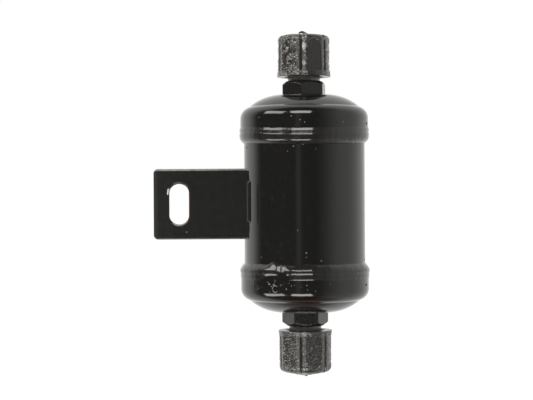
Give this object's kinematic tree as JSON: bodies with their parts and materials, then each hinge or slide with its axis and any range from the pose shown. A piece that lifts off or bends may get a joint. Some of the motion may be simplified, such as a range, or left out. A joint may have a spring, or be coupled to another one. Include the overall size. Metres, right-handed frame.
{
  "type": "filter drier",
  "caption": "Inline refrigerant filter drier: welded cylindrical steel can, hexagon flare fittings with screw caps at both ends, slotted side bracket.",
  "frame": {"origin": "middle of the bracket's slot, on the bracket's mounting face", "axes": "+Z along the canister towards its inlet, +Y out of the bracket's mounting face, +X from the slot to the canister"},
  "size_m": [0.117, 0.0708, 0.1896],
  "materials": {
    "black_paint": "gloss",
    "painted_weld": "gloss",
    "fitting_steel": "satin",
    "cap_plastic": "satin",
    "seal_rubber": "matte",
    "braze": "satin",
    "inner_steel": "satin",
    "spring_steel": "satin",
    "screen_mesh": "satin",
    "filter_felt": "matte",
    "desiccant": "matte"
  },
  "bodies": {
    "canister": {"can_tube": "black_paint", "upper_end_cup": "black_paint", "lower_end_cup": "black_paint", "upper_weld_bead": "painted_weld", "lower_weld_bead": "painted_weld", "inlet_fitting": "fitting_steel", "outlet_fitting": "fitting_steel", "inlet_braze_ring": "braze", "outlet_braze_ring": "braze", "bracket_plate": "black_paint", "bracket_weld_front": "painted_weld", "bracket_weld_rear": "painted_weld", "support_plate": "inner_steel", "outlet_screen": "screen_mesh", "lower_filter_pad": "filter_felt", "desiccant_core": "desiccant", "upper_filter_pad": "filter_felt", "pressure_plate": "inner_steel", "compression_spring": "spring_steel"},
    "inlet_seal": {"inlet_cap_seal": "seal_rubber"},
    "inlet_cap": {"inlet_cap": "cap_plastic"},
    "outlet_seal": {"outlet_cap_seal": "seal_rubber"},
    "outlet_cap": {"outlet_cap": "cap_plastic"}
  },
  "joints": [
    {"name": "inlet_cap_lift", "type": "slide", "parent": "canister", "child": "inlet_seal", "axis": [0, 0, 1], "range_m": [0, 0.0239]},
    {"name": "inlet_cap_turn", "type": "hinge", "parent": "inlet_seal", "child": "inlet_cap", "pos_m": [0.068, 0.0105, 0.0916], "axis": [0, 0, 1], "range_deg": [0, 5400]},
    {"name": "outlet_cap_lift", "type": "slide", "parent": "canister", "child": "outlet_seal", "axis": [0, 0, -1], "range_m": [0, 0.0239]},
    {"name": "outlet_cap_turn", "type": "hinge", "parent": "outlet_seal", "child": "outlet_cap", "pos_m": [0.068, 0.0105, -0.0916], "axis": [0, 0, -1], "range_deg": [0, 5400]}
  ],
  "couplings": [
    {"joint": "inlet_cap_lift", "follows": "inlet_cap_turn", "m_per_rad": 0.00025266},
    {"joint": "outlet_cap_lift", "follows": "outlet_cap_turn", "m_per_rad": 0.00025266}
  ]
}
